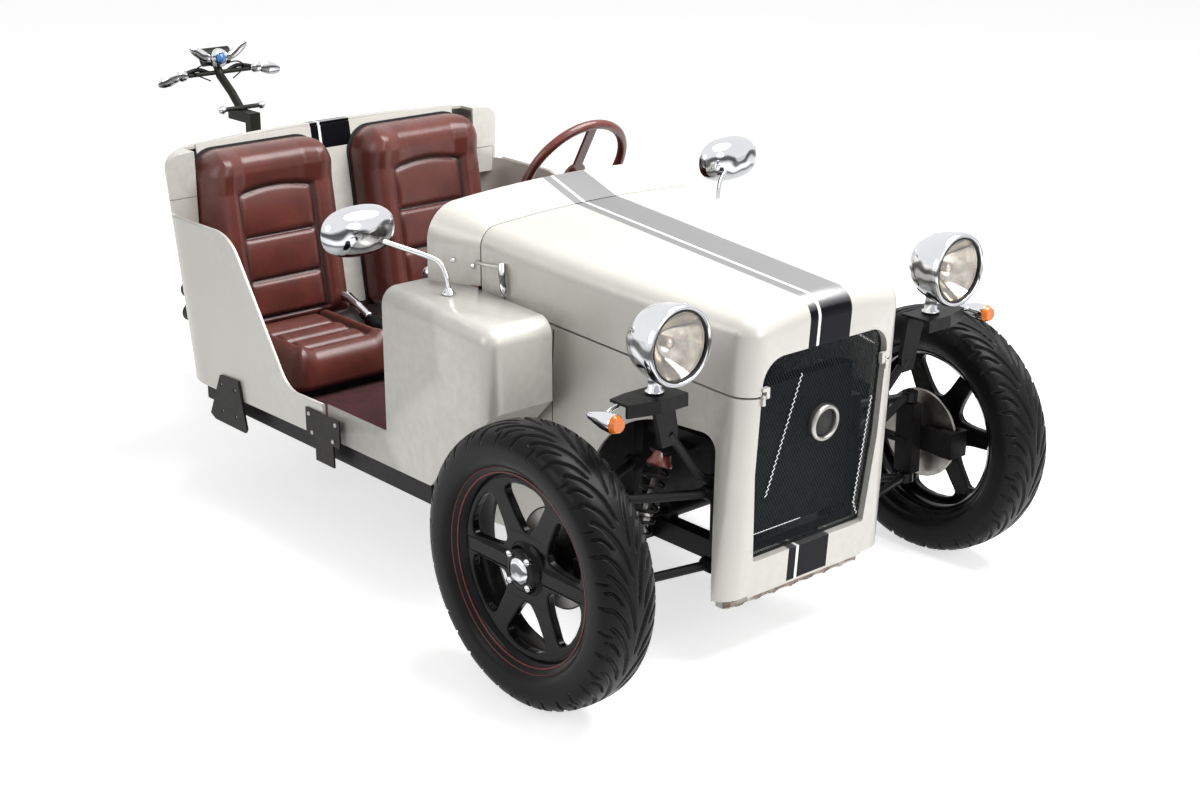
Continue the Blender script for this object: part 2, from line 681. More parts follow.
# %% Wheel profiles
# (along the axle, radius) in metres from the middle of the wheel
LIP = [(-.057, .2275), (-.0585, .232), (-.056, .2345), (-.053, .231), (-.050, .222), (-.044, .212), (-.030, .2085)]
BARREL = LIP + [(-along, radius) for along, radius in reversed(LIP)] + [(.050, .2165), (.040, .2035), (-.040, .2035),
                                                                        (-.050, .2165)]
HUB = [(.018, .0), (.018, .066), (.030, .063), (.034, .058), (.035, .052), (.046, .050), (.050, .046), (.052, .040),
       (.052, 0)]
DRUM = [(-.040, .0), (-.040, .04), (.028, .04), (.028, 0)]
DISC = [(-.056, .02), (-.056, .112), (-.055, .116), (-.051, .116), (-.050, .112), (-.050, .02)]
CAP = [(.050, .0300), (.054, .0305), (.0575, .0285), (.0595, .018), (.0602, 0)]
NUT = [(.048, .0092), (.056, .0088), (.0595, .0066), (.0605, 0)]
RED_LINES = ([(.0565, .2290), (.0600, .2306), (.0600, .2332), (.0570, .2346)],
             [(.0500, .2150), (.0530, .2166), (.0530, .2190), (.0505, .2204)])
NUT_CIRCLE = 0.0435
print("barrel has", len(BARREL), "points in its profile")

# %% Wheels


def placed_spokes(centre, face):
    """The cast face dished and moved to the outer side of its wheel."""
    points = []
    for u, v, w in cast_points:
        dish = -0.008 * (1 - min(math.hypot(u, v) / 0.21, 1) ** 2)
        points.append((centre[0] + face * (0.028 + dish) + face * w, centre[1] + u, centre[2] + v))
    return points, cast_faces


for name, x, station, face in WHEELS:
    centre, axis, wheel = (x / 1000, back(station), TYRE_RADIUS / 1000), (face, 0, 0), f"wheel_{name}"
    piece(f"barrel_{name}", turned(BARREL, centre, (1, 0, 0), 128, closed=True), "gloss_black", wheel,
          wheel)
    piece(f"spokes_{name}", placed_spokes(centre, face), "gloss_black", wheel, wheel, smooth=False)
    piece(f"hub_{name}", join(turned(HUB, centre, axis, 64), turned(DRUM, centre, axis, 48)), "gloss_black",
          wheel, wheel)
    piece(f"brake_disc_{name}", turned(DISC, centre, axis), "steel", wheel, wheel)
    bright = [turned(CAP, centre, axis, 48)]
    for turn in (math.radians(45 + 90 * nut) for nut in range(4)):
        seat = Vector(centre) + Vector((0, math.cos(turn), math.sin(turn))) * NUT_CIRCLE
        bright.append(turned(NUT, seat, axis, 24))
    piece(f"wheel_caps_{name}", join(*bright), "chrome", wheel)
    piece(f"red_line_{name}", join(*(turned(line, centre, axis, 128, closed=True) for line in RED_LINES)), "red_line",
          wheel)
print("wheels dressed:", len(WHEELS))

# %% [markdown]
# ## Seats
# A seat is foam under tight leather, drawn in along stitched seams. Sculpting
# or a cloth simulation could make it, but neither gives the same seat twice.
# Here each pad is laid out on a grid that follows its rounded outline, and the
# height of every point adds a crowned edge, thick bolsters and a lower middle
# that is full between its seams. The seams are kept as the attribute channel.

# %% Outline and quilting of a pad
BOLSTER, CREASE = 16, 12


def outline_half(v, width, height, top, foot):
    """Half-width at height v of an outline with rounded top and foot."""
    half = np.full_like(v, width / 2)
    for near, radius, reach in ((v > height - top, top, v - height + top), (v < foot, foot, foot - v)):
        half[near] = width / 2 - radius + np.sqrt(np.maximum(radius ** 2 - reach[near] ** 2, 0))
    return half


def dip(distance, width):
    """1 at a seam, falling to 0 at this distance from it."""
    return np.exp(-(distance / width) ** 2)


def quilt(v, inside, ring, panels, seams, seam_width, flank, ends, sunk, full):
    """Height and channel of a pad: bolsters round a sunken middle that is full between its seams."""
    floor = np.clip(inside / 10, 0, 1)
    lines, puff = np.zeros_like(v), np.zeros_like(v)
    for low, high in zip(panels, panels[1:]):
        share = np.clip((v - low) / (high - low), 0, 1)
        puff = np.maximum(puff, np.sin(share * math.pi) ** 0.5 * (v >= low) * (v <= high))
    for seam in seams:
        lines = np.maximum(lines, dip(v - seam, seam_width))
    crease = np.clip(np.maximum(ring, lines * floor), 0, 1)
    form = BOLSTER * (1 - floor) * flank + ends - sunk * floor + full * puff * floor - CREASE * crease
    return form, np.clip(crease * 1.3 - 0.3, 0, 1)


print("bolsters stand", BOLSTER, "mm proud and creases sink", CREASE, "mm")

# %% Pad maker


def pad(name, size, corners, relief, place, replaces, grid=(90, 110), far_edge=1):
    """A closed pad in millimetres; relief(u, v) gives height and channel, place maps to the model."""
    (width, height, thick), (columns, rows) = size, grid
    v = height * (0.5 - 0.5 * np.cos(np.linspace(0, math.pi, rows)))
    v = 0.5 * v + 0.5 * np.linspace(0, height, rows)
    v[0], v[-1] = 0.01, height - 0.01
    share = np.linspace(-1, 1, columns)
    share = 0.35 * np.sin(share * math.pi / 2) + 0.65 * share
    half = outline_half(v, width, height, *corners)[:, None]
    u = share * half
    v = np.broadcast_to(v[:, None], u.shape)
    edge = np.minimum(np.minimum(half - np.abs(u), (height - v) * far_edge), v)
    rise = np.clip(1 - (1 - np.clip(edge / 58, 0, 1)) ** 2.3, 0, 1) ** 0.55
    form, channel = relief(u, v)
    front = thick * 0.14 + rise * (thick * 0.86 + form)
    points = [place(*at) for level in (front, np.zeros_like(front))
              for at in zip(u.ravel(), v.ravel(), level.ravel())]
    count = rows * columns
    cells = np.arange(count).reshape(rows, columns)
    a, b, c, d = cells[:-1, :-1], cells[:-1, 1:], cells[1:, 1:], cells[1:, :-1]
    sheets = np.stack([a, b, c, d, count + a, count + d, count + c, count + b], -1).reshape(-1, 4)
    loop = [*cells[0], *cells[1:, -1], *cells[-1, -2::-1], *cells[-2:0:-1, 0]]
    rim = [(i, count + i, count + j, j) for i, j in zip(loop, loop[1:] + loop[:1])]
    made = piece(name, (points, [*sheets, *rim]), "leather", replaces=replaces)
    keep_on_points(made, "channel", np.concatenate([channel.ravel(), np.zeros(count)]))
    print(made.name, len(made.data.vertices), "points")


print("pad maker ready")

# %% Seat backs
LEAN = math.radians(9)


def back_relief(u, v):
    """Bolsters round three full panels under an arched top."""
    inside = np.minimum(118 - np.abs(u), 392 + 16 * np.cos(np.clip(u / 118, -1, 1) * math.pi / 2) - v)
    flank, crown = np.clip((np.abs(u) - 100) / 40, 0, 1), 12 * np.clip((v - 400) / 50, 0, 1)
    return quilt(v, inside, dip(inside, 6.5) * (v > 40), (40, 148, 270, 405), (40, 148, 270), 6, flank, crown, 9, 10)


def back_place(side):
    """Maps a seat back's own measures to the model, for the seat on this side."""
    normal = Vector((0, -math.cos(LEAN), math.sin(LEAN)))
    up = Vector((0, math.sin(LEAN), math.cos(LEAN)))
    foot = Vector((side * 0.262, back(1612), 0.405))
    return lambda u, v, w: foot + Vector((u / 1000, 0, 0)) + up * (v / 1000) + normal * ((w - 46) / 1000)


for name, side in SIDES:
    pad(f"seat_back_{name}", (423, 524, 84), (82, 30), back_relief, back_place(side), "seat_backs")

# %% [markdown]
# ## Seat cushions
# The cushion is the same kind of pad, laid flat. It gets thick sides and a
# full front edge, and two seams cross its middle. Its rear edge tucks under
# the back, so it stays nearly square there. The pad maker does it all with
# other numbers.

# %% Seat cushions


def cushion_relief(u, v):
    """Side and front bolsters round a middle with cross seams; v runs from the front to the rear."""
    inside = np.minimum(108 - np.abs(u), v - 72)
    flank, front = np.clip((np.abs(u) - 95) / 30, 0, 1), 10 * (1 - np.clip(v / 72, 0, 1))
    return quilt(v, inside, dip(inside, 7), (72, 150, 232, 352), (150, 232), 7.5, flank, front, 8, 14)


def cushion_place(side):
    """Maps a cushion's own measures to the model, for the seat on this side."""
    return lambda u, v, w: Vector((side * 0.305 + u / 1000, back(1229) + v / 1000, 0.347 + w / 1000))


for name, side in SIDES:
    pad(f"seat_cushion_{name}", (334, 330, 96), (38, 42), cushion_relief, cushion_place(side), "seat_cushions",
        (84, 92), 4)

# %% [markdown]
# ## Springs and dampers
# Each front wheel has a coil spring round a damper. A screw modifier could
# wind the coil, but its ends would stand square in the air. A bar swept along
# a helix can lie flat at both ends, as a real spring does.

# %% Swept bars


def swept(path, radius, sides=12):
    """A round bar along a path of points; radius is one number or one for each point."""
    path = [Vector(p) for p in path]
    radii = radius if hasattr(radius, "__len__") else [radius] * len(path)
    points, side = [], None
    for i, here in enumerate(path):
        along = (path[min(i + 1, len(path) - 1)] - path[max(i - 1, 0)]).normalized()
        side = along.orthogonal().normalized() if side is None else (side - along * side.dot(along)).normalized()
        up = along.cross(side)
        for turn in (2 * math.pi * k / sides for k in range(sides)):
            points.append(here + (side * math.cos(turn) + up * math.sin(turn)) * radii[i])
    caps = [tuple(range(sides))[::-1], tuple(range(len(points) - sides, len(points)))]
    return points, skin(len(path), sides, False, True) + caps


print("a bar along 2 points has", len(swept([(0, 0, 0), (1, 0, 0)], 0.01)[1]), "faces")

# %% Springs and dampers
COIL_STEPS, FLAT_END = 26, 0.04
SPRING_SEAT = [(0, .012), (0, .030), (.006, .030), (.012, .024), (.030, .020), (.034, .012)]
EYE = [(-.015, 0), (-.015, .014), (.015, .014), (.015, 0)]


def helix(start, end, radius, turns):
    """Points along a coil between two places, flat at both ends."""
    _, side, up = square_to(end - start)
    total = int(turns * COIL_STEPS)
    path = []
    for i in range(total + 1):
        turn = 2 * math.pi * i / COIL_STEPS
        share = min(max((i / total - FLAT_END) / (1 - 2 * FLAT_END), 0), 1)
        path.append(start + (end - start) * share + (side * math.cos(turn) + up * math.sin(turn)) * radius)
    return path


for name, side in SIDES:
    top = Vector((side * 0.300, back(0), 0.4745))
    foot = Vector((side * 0.392, back(0), 0.2485))
    along = top - foot
    tube = turned([(.004, 0), (.004, .016), (.11, .016), (.112, .019), (.122, .019), (.124, .009),
                   (along.length - .004, .008), (along.length - .004, 0)], foot, along, 40)
    eyes = [turned(EYE, end, (0, 1, 0), 32) for end in (top, foot)]
    piece(f"damper_{name}", join(tube, *eyes), "steel", replaces="coil_dampers")
    coil = swept(helix(foot + along * 0.26, foot + along * 0.93, 0.0255, 6.5), 0.0042, 10)
    piece(f"spring_{name}", coil, "satin_black", replaces="coil_dampers")
    piece(f"damper_top_{name}", turned(SPRING_SEAT, foot + along * 0.94, along, 40), "red_cap")
print("springs wound:", len(SIDES))

# %% [markdown]
# ## Grille
# The nose is closed by woven wire. As an image with holes it would vanish when
# seen along its face. Instead, thin strips with a raised middle cross each
# other at a slant, the two layers 0.6 mm apart, and light passes between them
# to the radiator. The nose's top stands ahead of its foot, so everything here
# is laid on one sloping plane.

# %% The grille's plane and opening
RAKE = 0.075


def nose_station(z):
    """Where the nose's front edge is at height z, in millimetres behind the front axle."""
    return -221 + (760 - z) * RAKE


def on_grille(x, z, out_by=0.0):
    """A place on the grille's plane, in metres; out_by is towards the front."""
    return Vector((x / 1000, back(nose_station(z) + 19 - out_by), z / 1000))


def in_opening(x, z):
    """True inside the grille's opening, which has rounded top corners and a narrower foot."""
    x = abs(x)
    half = 201.5 if z > 470 else 183.5 + (z - 250) / 220 * 18
    if z < 251.5 or z > 741 or x > half:
        return False
    return not (z > 682 and x > 142 and (x - 142) ** 2 + (z - 682) ** 2 > 59.5 ** 2)


print("foot of the grille at Y", round(on_grille(0, 250).y, 4), "and its top at Y", round(on_grille(0, 741).y, 4))

# %% Grille wires
WIRE_PITCH, WIRE_SLANT, WIRE_HALF, WIRE_CROWN = 8.4, 0.62, 0.95, 0.7


def wires(tilt, out_by):
    """Strips across the opening that lean to the side that tilt gives, 1 or -1."""
    points, faces = [], []
    for offset in np.arange(-620, 620, WIRE_PITCH):
        inside = [z for z in np.arange(251, 742, 1.5) if in_opening(offset + tilt * (z - 500) * WIRE_SLANT, z)]
        if len(inside) < 3:
            continue
        n = len(points)
        for z in (inside[0], inside[-1]):
            x = offset + tilt * (z - 500) * WIRE_SLANT
            points += [on_grille(x + by, z, out_by + crown)
                       for by, crown in ((-WIRE_HALF, 0), (0, WIRE_CROWN), (WIRE_HALF, 0))]
        faces += [(n, n + 1, n + 4, n + 3), (n + 1, n + 2, n + 5, n + 4)]
    return points, faces


mesh = piece("grille_wires", join(wires(1, 0.4), wires(-1, 1.0)), "wire_black", replaces="grille_mesh")
print(mesh.name, len(mesh.data.polygons) // 2, "strips")

# %% [markdown]
# ## Badge, ties and rim of the grille
# A plain round badge with a bright ring stands on the wire, three bent wire
# ties hold the mesh, and a thin rod runs round its edge. The rod must follow
# the opening exactly, so its path is found by asking, at each height, how wide
# the opening is.

# %% Badge, ties and rim
BADGE_RING = [(-.002, .0335), (.012, .0340), (.016, .0360), (.0165, .0395), (.014, .0430), (.008, .0450),
              (-.002, .0452)]
TIE_LINK, TIE_ZIGZAG = 6, 3.5
# ends of each tie on the grille: X and Z
TIES = (((-62, 676), (-146, 396)), ((184, 566), (160, 300)), ((160, 300), (176, 266)))
badge, outward = on_grille(20, 540, 4), (0, -1, -RAKE)
piece("badge_ring", turned(BADGE_RING, badge, outward), "steel")
piece("badge_centre", turned([(.006, 0), (.006, .030), (.002, .0345)], badge, outward, 48), "iron")
chains = []
for (x0, z0), (x1, z1) in TIES:
    count = int(math.dist((x0, z0), (x1, z1)) / TIE_LINK)
    path = []
    for i in range(count + 1):
        t, aside = i / count, TIE_ZIGZAG if i % 2 else -TIE_ZIGZAG
        path.append(on_grille(x0 + (x1 - x0) * t + aside, z0 + (z1 - z0) * t, 4))
    chains.append(swept(path, 0.0015, 6))
piece("grille_ties", join(*chains), "bright_steel")
half = [(max(x for x in np.arange(120, 203, 0.5) if in_opening(x, z)), z) for z in np.linspace(252, 740, 40)]
loop = half + [(-x, z) for x, z in reversed(half)]
path = [on_grille(x, z, -1) for x, z in loop + loop[:2]]
piece("grille_frame", swept(path, 0.0035, 8), "satin_black", replaces="grille_mesh")
print("grille made")

# %% [markdown]
# ## Headlamps
# A headlamp is a spun bowl with a rolled bezel, a deep reflector and a cap
# over the bulb, on a short post; beside it an indicator sits on a bent stem.
# They are all turned but the stem, so their profiles are all there is to
# draw. The lenses themselves come from the frame.

# %% Lamp profiles
# (along the axis, radius) in metres
UP, AHEAD = (0, 0, 1), (0, -1, 0)
BOWL = [(.006, .0815), (.010, .0845), (.004, .0885), (-.006, .0892), (-.014, .0878), (-.020, .0862), (-.045, .0835),
        (-.072, .0755), (-.096, .0600), (-.113, .0400), (-.122, .0200), (-.1245, .0)]
BEZEL = [(.004, .0760), (.009, .0790), (.011, .0830), (.009, .0870), (.003, .0885), (.000, .0760)]
POST = [(0, 0), (0, .021), (.006, .021), (.010, .015), (.045, .014), (.060, .020), (.066, .0)]
REFLECTOR = [(-.006 - .062 * (1 - (radius / .0755) ** 2), radius) for radius in np.linspace(.0755, .012, 16)]
BULB_CAP = [(-.066, .012), (-.030, .013), (-.026, .010), (-.024, 0)]
GASKET = [(.001, .0735), (.0085, .0745), (.0085, .0775), (.001, .0785)]
INDICATOR = [(.0, .0205), (-.004, .0215), (-.030, .0205), (-.055, .0150), (-.076, .0100), (-.084, .0070), (-.0845, 0)]
print("headlamp is", 2000 * max(radius for _, radius in BOWL), "mm across")

# %% Headlamps
for name, side in SIDES:
    centre = (side * 0.448, back(-209), 0.821)
    shell = join(turned(BOWL, centre, AHEAD, 128), turned(BEZEL, centre, AHEAD, 128, closed=True),
                 turned(POST, (side * 0.448, back(-137), 0.7003), UP, 48))
    piece(f"lamp_shell_{name}", shell, "chrome", replaces="lamp_bodies")
    piece(f"reflector_{name}", join(turned(REFLECTOR, centre, AHEAD), turned(BULB_CAP, centre, AHEAD, 32)),
          "reflector")
    piece(f"lens_gasket_{name}", turned(GASKET, centre, AHEAD, closed=True), "rubber")
    stem = rounded([(side * 0.5455, back(-130), 0.691), (side * 0.570, back(-134), 0.688),
                    (side * 0.597, back(-140), 0.679)])
    indicator = turned(INDICATOR, (side * 0.601, back(-186), 0.679), AHEAD, 64)
    piece(f"indicator_shell_{name}", join(indicator, swept(stem, 0.0062, 16)), "chrome",
          replaces="lamp_bodies")
print("lamps made:", len(SIDES))

# %% [markdown]
# ## Rolled edges of the door openings
# The cut-out for each door ends in a rolled edge, which catches a bright line
# of light. A bevel on the panel would round it but not thicken it, so a thin
# bar is swept along the opening, with true arcs in its corners.

# %% Path with rounded corners


def corner_path(corners, radii, steps=10):
    """A flat path of (a, b) pairs with an arc of the given radius in each inner corner."""
    path = [corners[0]]
    for before, corner, after, radius in zip(corners, corners[1:], corners[2:], radii):
        corner = Vector(corner)
        to, on = (Vector(before) - corner).normalized(), (Vector(after) - corner).normalized()
        half = math.acos(max(-1, min(1, to.dot(on)))) / 2
        reach = radius / math.tan(half)
        start, end = corner + to * reach, corner + on * reach
        centre = corner + (to + on).normalized() * (radius / math.sin(half))
        for k in range(steps + 1):
            spoke = (start - centre).lerp(end - centre, k / steps)
            path.append(tuple(centre + spoke.normalized() * radius))
    return path + [corners[-1]]


def side_half(station):
    """Half-width of the tub's side at this distance behind the front axle."""
    return 548 + (station - 302) * (572 - 548) / (1690 - 302)


print("tub is", side_half(302), "to", side_half(1690), "mm wide on each side")

# %% Rolled edges
door_edge = corner_path([(980, 402), (1140, 402), (1385, 767), (1664, 767)], (90, 120))
for name, side in SIDES:
    path = [(side * (side_half(station) - 1.5) / 1000, back(station), z / 1000) for station, z in door_edge]
    piece(f"door_lip_{name}", swept(path, 0.0042, 10), "plain_paint")
print("door edges:", len(door_edge), "points each")

# %% [markdown]
# ## Bolts
# Screw heads on the side plates and the cowl make the scale believable. They
# could be dents in a bump map, but a dome that catches its own light tells
# more for twenty quads, so each head is turned where it sits.

# %% Bolts
FRONT_PLATE = [(916, 366), (1036, 366), (930, 318), (1024, 318)]
REAR_PLATE = [(1424 + along, 300 + high) for along in (-35, 35) for high in (-38, 38)]


def bolt(at, axis, radius=0.0055, height=0.004):
    """A domed screw head."""
    return turned([(0, radius), (height * 0.4, radius), (height * 0.85, radius * 0.7), (height, 0)], at, axis, 20)


def plate_heads(side, places, plate_x, radius):
    """Heads on a plate that stands at this distance from the middle of the car."""
    return [bolt((side * plate_x / 1000, back(station), z / 1000), (side, 0, 0), radius) for station, z in places]


for name, side in SIDES:
    heads = (plate_heads(side, FRONT_PLATE, side_half(1052) + 5.2, 0.0062)
             + plate_heads(side, REAR_PLATE, side_half(1524) + 1.2, 0.0052))
    piece(f"plate_bolts_{name}", join(*heads), "steel")
for name, side in SIDES:
    heads = [bolt((side * x, back(station), z), (side, -0.43, 0), 0.0065, 0.0045)
             for x, station, z in ((0.3961, 633, 0.823), (0.3729, 586, 0.814))]
    piece(f"cowl_bolts_{name}", join(*heads), "bright_steel")
print("bolts on each side:", len(FRONT_PLATE) + len(REAR_PLATE) + 2)

# %% [markdown]
# ## Foot boxes
# Each box beside the cockpit is folded sheet with softly rounded edges. A
# solid block with its edges bevelled would close the box. So its faces are
# built one by one, the three outer edges are bevelled wide, and the sheet is
# then given its thickness inward, as a folded panel has it.

# %% Sheet of a foot box
# outline of the outer face: distance behind the front axle and height
BOX_OUTLINE = [(302, 548), (540, 312), (975, 312), (975, 402), (716, 402), (716, 765), (302, 747)]
FOOT, TOP_REAR, TOP_FRONT = 0, 5, 6
BOX_OUTER, BOX_INNER, BOX_THICK = 0.548, 0.3645, 0.003


def folded_box(side):
    """Points and faces of the sheet before it has a thickness."""
    work = bmesh.new()
    outer, inner = ([work.verts.new((side * x, back(a), b / 1000)) for a, b in BOX_OUTLINE]
                    for x in (BOX_OUTER, BOX_INNER))
    work.faces.new(outer)
    for i in (FOOT, 1, TOP_REAR, TOP_FRONT):
        j = (i + 1) % len(outer)
        work.faces.new((outer[i], outer[j], inner[j], inner[i]))
    rear_edge = [work.verts.new((side * BOX_INNER, back(560), z)) for z in (0.312, 0.7582)]
    work.faces.new([inner[FOOT], inner[1], *rear_edge, inner[TOP_FRONT]])
    soft = [{outer[TOP_FRONT], end} for end in (outer[TOP_REAR], outer[FOOT], inner[TOP_FRONT])]
    wide = [edge for edge in work.edges if set(edge.verts) in soft]
    bmesh.ops.recalc_face_normals(work, faces=work.faces)
    bmesh.ops.bevel(work, geom=wide, offset=0.042, segments=8, profile=0.5, affect="EDGES")
    bmesh.ops.triangulate(work, faces=[face for face in work.faces if len(face.verts) > 4])
    work.verts.index_update()
    shape = [v.co.copy() for v in work.verts], [tuple(v.index for v in face.verts) for face in work.faces]
    work.free()
    return shape


print("outline has", len(BOX_OUTLINE), "corners")

# %% Foot boxes
for name, side in SIDES:
    box = piece(f"foot_box_{name}", folded_box(side), "plain_paint")
    middle = Vector((side * 0.456, back(520), 0.55))
    if sum((face.center - middle).dot(face.normal) for face in box.data.polygons) < 0:
        box.data.flip_normals()
    thick = box.modifiers.new("thick", "SOLIDIFY")
    thick.thickness, thick.offset = BOX_THICK, -1
    box.data.set_sharp_from_angle(angle=math.radians(40))
    bpy.context.view_layer.objects.active = box
    bpy.ops.object.modifier_apply(modifier="thick")
    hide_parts("foot_boxes")
    seam = [(side * x, back(station), z)
            for x, station, z in ((0.3315, 342, 0.480), (0.3313, 341, 0.630), (0.3306, 337, 0.706))]
    piece(f"box_seam_{name}", swept(seam, 0.0013, 8), "satin_black")
    print(box.name, len(box.data.polygons), "faces")

# %% [markdown]
# ## Mirrors
# A mirror's shell is a deep oval bowl on a bent stalk. A scaled ball would be
# too round at its corners, so a turned bowl is stretched to an oval and pushed
# out a little between its axes. The glass comes from the frame.

# %% Mirrors
MIRROR_HALF_WIDTH, MIRROR_HALF_HEIGHT = 0.099, 0.060
MIRROR_BOWL = [(-.002, .985), (.002, 1.0), (.008, 1.0), (.020, .965), (.032, .88), (.042, .72), (.049, .50),
               (.053, .25), (.054, 0)]
STALK_FOOT = [(0, 0), (0, .0175), (.004, .0175), (.008, .012), (.014, .008), (.016, 0)]
# the stalk's bends: X, distance behind the front axle and Z
STALK = ((0.448, 582, 0.758), (0.450, 585, 0.800), (0.457, 600, 0.832), (0.475, 622, 0.848), (0.530, 668, 0.874),
         (0.590, 698, 0.902))


def on_side(side, places):
    """Places of X in metres, distance behind the front axle and Z, on this side of the car."""
    return [(side * x, back(station), z) for x, station, z in places]


for name, side in SIDES:
    middle = Vector((side * 0.604, back(727), 0.913))
    ring_points, faces = turned(MIRROR_BOWL, (0, 0, 0), AHEAD, 72)
    points = []
    for p in ring_points:
        square = 1 + 0.07 * math.sin(2 * math.atan2(p.z, p.x)) ** 2
        points.append(middle + Vector((p.x * MIRROR_HALF_WIDTH * square, p.y, p.z * MIRROR_HALF_HEIGHT * square)))
    piece(f"mirror_shell_{name}", (points, faces), "chrome", replaces="mirrors")
    stalk = swept(rounded(on_side(side, STALK), 6), 0.0062, 16)
    foot = turned(STALK_FOOT, (side * 0.448, back(582), 0.7598), UP, 40)
    piece(f"mirror_stalk_{name}", join(stalk, foot), "bright_steel", replaces="mirrors")
print("mirrors made:", len(SIDES))

# %% [markdown]
# ## Bonnet latches
# A latch is a small lever with a hook that pulls the bonnet back against the
# scuttle, over a painted strap. The lever thins towards its end. A box scaled
# at one end would show its corners, so a bar with a radius for each point is
# swept along its bend.

# %% Bonnet latches
LATCH_X = 0.3585

for name, side in SIDES:
    lever = on_side(side, ((LATCH_X, 492, 0.836), (LATCH_X + 0.004, 487, 0.820), (LATCH_X + 0.005, 484, 0.795),
                           (LATCH_X + 0.002, 481, 0.768)))
    hook = on_side(side, ((LATCH_X + 0.002, 486, 0.800), (LATCH_X + 0.010, 482, 0.785), (LATCH_X + 0.009, 478, 0.764),
                          (LATCH_X, 480, 0.756)))
    strap = on_side(side, ((0.3690, 578, 0.826), (0.3645, 560, 0.822), (0.3600, 500, 0.826)))
    lever = swept(rounded(lever, 6), [0.0085] * 10 + [0.0075] * 6 + [0.006] * 3, 14)
    piece(f"latch_{name}", join(lever, swept(rounded(hook, 6), 0.0035, 10)), "chrome",
          replaces="bonnet_latches")
    piece(f"latch_strap_{name}", swept(strap, 0.0045, 4), "plain_paint", replaces="bonnet_latches")
print("latches made:", len(SIDES))

# %% [markdown]
# ## Levers between the seats
# The brake lever has a broad black body with a chrome top; the gear lever is a
# thin bright rod with a knob. Both stand on the tunnel. Swept bars give them
# their bends and the knob and the two feet are turned, which keeps each lever
# to one short list of places.

# %% Levers
BRAKE_BASE = [(0, 0), (0, 0.034), (0.006, 0.034), (0.010, 0.030), (0.020, 0.028), (0.030, 0.020)]
KNOB = [(-.020, .006), (-.018, .014), (-.008, .0215), (.004, .0225), (.014, .0175), (.021, .008), (.022, 0)]
COLLAR = [(0, 0), (0, .024), (.006, .024), (.012, .018), (.030, .010)]
TUNNEL_TOP = 0.3795

brake = on_side(1, ((-0.100, 1290, 0.385), (-0.100, 1330, 0.400), (-0.101, 1400, 0.424), (-0.102, 1460, 0.444)))
handle = on_side(1, ((-0.103, 1430, 0.442), (-0.104, 1480, 0.462), (-0.105, 1530, 0.478), (-0.105, 1556, 0.476)))
stick = on_side(1, ((0.060, 1300, 0.388), (0.052, 1312, 0.450), (0.040, 1330, 0.552)))
piece("brake_lever", join(swept(rounded(brake, 6), [0.030] * 4 + [0.027] * 6 + [0.024] * 5 + [0.016] * 4, 18),
                          turned(BRAKE_BASE, (-0.100, back(1290), TUNNEL_TOP), UP, 48)),
      "gloss_black", replaces="levers")
piece("lever_rods", join(swept(rounded(handle, 6), [0.012] * 6 + [0.013] * 6 + [0.015] * 5 + [0.013, 0.007], 16),
                         swept(rounded(stick, 6), 0.0075, 14), turned(KNOB, (0.040, back(1330), 0.566), UP, 40),
                         turned(COLLAR, (0.060, back(1298), TUNNEL_TOP), UP, 40)),
      "chrome", replaces="levers")
print("levers made")

# %% [markdown]
# ## Lip under the nose
# The old lip has lost its paint along the lower edge. A straight edge would
# look new, so random steps from a fixed seed break its outline up, and its
# paint wears through to rust in patches and on the edges.

# %% Lip's paint
finish("lip_paint", (0.50, 0.47, 0.41), (0.16, 0.07, 0.03), 26, 0.9, 0.55, 0.2, 200, 0.5, (0.08, 0.04, 0.02), 0.9)
print("finishes:", len(finishes))

# %% Lower lip
LIP_STEPS, LIP_HALF, LIP_THICK, LIP_HEIGHT = 160, 0.224, 0.003, 165
random = np.random.default_rng(4)
points = []
for i in range(LIP_STEPS + 1):
    x = -LIP_HALF + 2 * LIP_HALF * i / LIP_STEPS
    corner = max(0, abs(x) - 0.208) / 0.016
    y = back(nose_station(LIP_HEIGHT) + 34) + 0.010 * corner ** 2
    low = 0.1262 + 0.0035 * random.random() + 0.003 * math.sin(i * 0.31)
    points += [(x, y + depth, z) for depth in (0, LIP_THICK) for z in (0.1645, 0.140, low)]
# quads of one step: front, rear, lower edge and upper edge
quads = [(0, 1, 7, 6), (1, 2, 8, 7), (3, 9, 10, 4), (4, 10, 11, 5), (2, 5, 11, 8), (0, 6, 9, 3)]
faces = [[6 * i + corner for corner in quad] for i in range(LIP_STEPS) for quad in quads]
piece("rusty_lip", (points, faces), "lip_paint", smooth=False)
heads = [bolt((x, back(nose_station(LIP_HEIGHT) + 33.6), 0.148), AHEAD, 0.005, 0.003)
         for x in (-0.205, -0.12, -0.04, 0.05, 0.13, 0.205)]
piece("lip_bolts", join(*heads), "satin_black")
print("lip made of", len(faces), "quads, with", len(heads), "bolts")

# %% [markdown]
# ## Rear mast
# Over the rear wheel a mast carries two arms with small bright paddles, a
# round crown with a blue lens and two knobs. The paddles could each be drawn
# by hand. But all six are flattened spindles, so one turned shape, squeezed
# and tilted three times for each side, does for all of them.

# %% Measures of the mast
MAST = 2175
MAST_HEAD, HEAD_Z = back(MAST + 190), 1.004
SPINDLE = [(-1, 0), (-.88, .48), (-.53, .85), (0, 1), (.53, .85), (.88, .48), (1, 0)]
CROWN = [(-.030, .0), (-.026, .014), (-.012, .026), (.004, .030), (.014, .028), (.018, .018)]
# two bars for each side: radius, sides, and places from the mast's head
BARS = ((0.0065, 12, ((0.03, 0, 0), (0.066, 0.002, 0.014), (0.104, 0, 0.010), (0.142, -0.004, -0.002))),
        (0.0022, 8, ((0.012, 0.004, 0.02), (0.06, -0.012, 0.030), (0.088, -0.008, 0.008), (0.04, -0.02, -0.02))))
